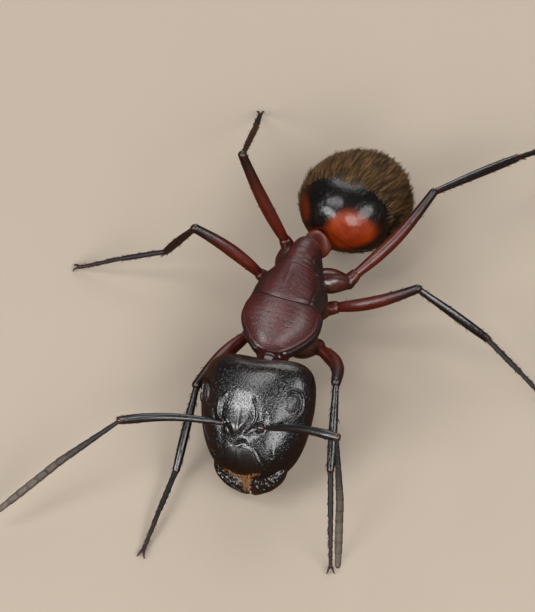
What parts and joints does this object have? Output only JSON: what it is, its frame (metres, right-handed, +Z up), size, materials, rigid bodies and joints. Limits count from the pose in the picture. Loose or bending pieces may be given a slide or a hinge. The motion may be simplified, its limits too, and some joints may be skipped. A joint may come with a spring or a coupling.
{
  "type": "carpenter ant",
  "caption": "Life-size still model of a major worker carpenter ant standing with lowered head, spread feelers and a hairy banded rear body.",
  "frame": {"origin": "middle of the ant's outline seen from above, on the floor under its feet", "axes": "-Y is the way the head points, +X is towards the ant's left side, +Z is up"},
  "size_m": [0.0165, 0.0209, 0.0057],
  "materials": {
    "black_cuticle": "near-black chitin, finely netted and glossy, with grey sheen",
    "maroon_cuticle": "dark maroon chitin with fine cross lines and a soft violet-grey sheen",
    "red_brown_cuticle": "red-brown chitin, smooth and slightly translucent looking",
    "dark_cuticle": "black-brown chitin of shins, feet and feelers",
    "gaster_cuticle": "black chitin, red-orange at the front of the first belt",
    "eye": "dark compound eye with fine facets",
    "hair": "golden-brown bristles and flat down"
  },
  "bodies": {
    "root": {"head": "black_cuticle", "clypeus": "black_cuticle", "mandible_left": "black_cuticle", "mandible_right": "black_cuticle", "eye_left": "eye", "eye_right": "eye", "neck": "maroon_cuticle", "pronotum": "maroon_cuticle", "mesonotum": "maroon_cuticle", "propodeum": "maroon_cuticle", "petiole": "red_brown_cuticle", "gaster_1": "gaster_cuticle", "gaster_2": "gaster_cuticle", "gaster_3": "gaster_cuticle", "gaster_4": "gaster_cuticle", "gaster_5": "gaster_cuticle", "scape_left": "dark_cuticle", "funiculus_left_1": "dark_cuticle", "funiculus_left_2": "dark_cuticle", "coxa_front_left": "red_brown_cuticle", "trochanter_front_left": "red_brown_cuticle", "femur_front_left": "red_brown_cuticle", "tibia_front_left": "dark_cuticle", "tarsus_front_left": "dark_cuticle", "coxa_middle_left": "red_brown_cuticle", "trochanter_middle_left": "red_brown_cuticle", "femur_middle_left": "red_brown_cuticle", "tibia_middle_left": "dark_cuticle", "tarsus_middle_left": "dark_cuticle", "coxa_hind_left": "red_brown_cuticle", "trochanter_hind_left": "red_brown_cuticle", "femur_hind_left": "red_brown_cuticle", "tibia_hind_left": "dark_cuticle", "tarsus_hind_left": "dark_cuticle", "scape_right": "dark_cuticle", "funiculus_right_1": "dark_cuticle", "funiculus_right_2": "dark_cuticle", "coxa_front_right": "red_brown_cuticle", "trochanter_front_right": "red_brown_cuticle", "femur_front_right": "red_brown_cuticle", "tibia_front_right": "dark_cuticle", "tarsus_front_right": "dark_cuticle", "coxa_middle_right": "red_brown_cuticle", "trochanter_middle_right": "red_brown_cuticle", "femur_middle_right": "red_brown_cuticle", "tibia_middle_right": "dark_cuticle", "tarsus_middle_right": "dark_cuticle", "coxa_hind_right": "red_brown_cuticle", "trochanter_hind_right": "red_brown_cuticle", "femur_hind_right": "red_brown_cuticle", "tibia_hind_right": "dark_cuticle", "tarsus_hind_right": "dark_cuticle"}
  },
  "joints": []
}
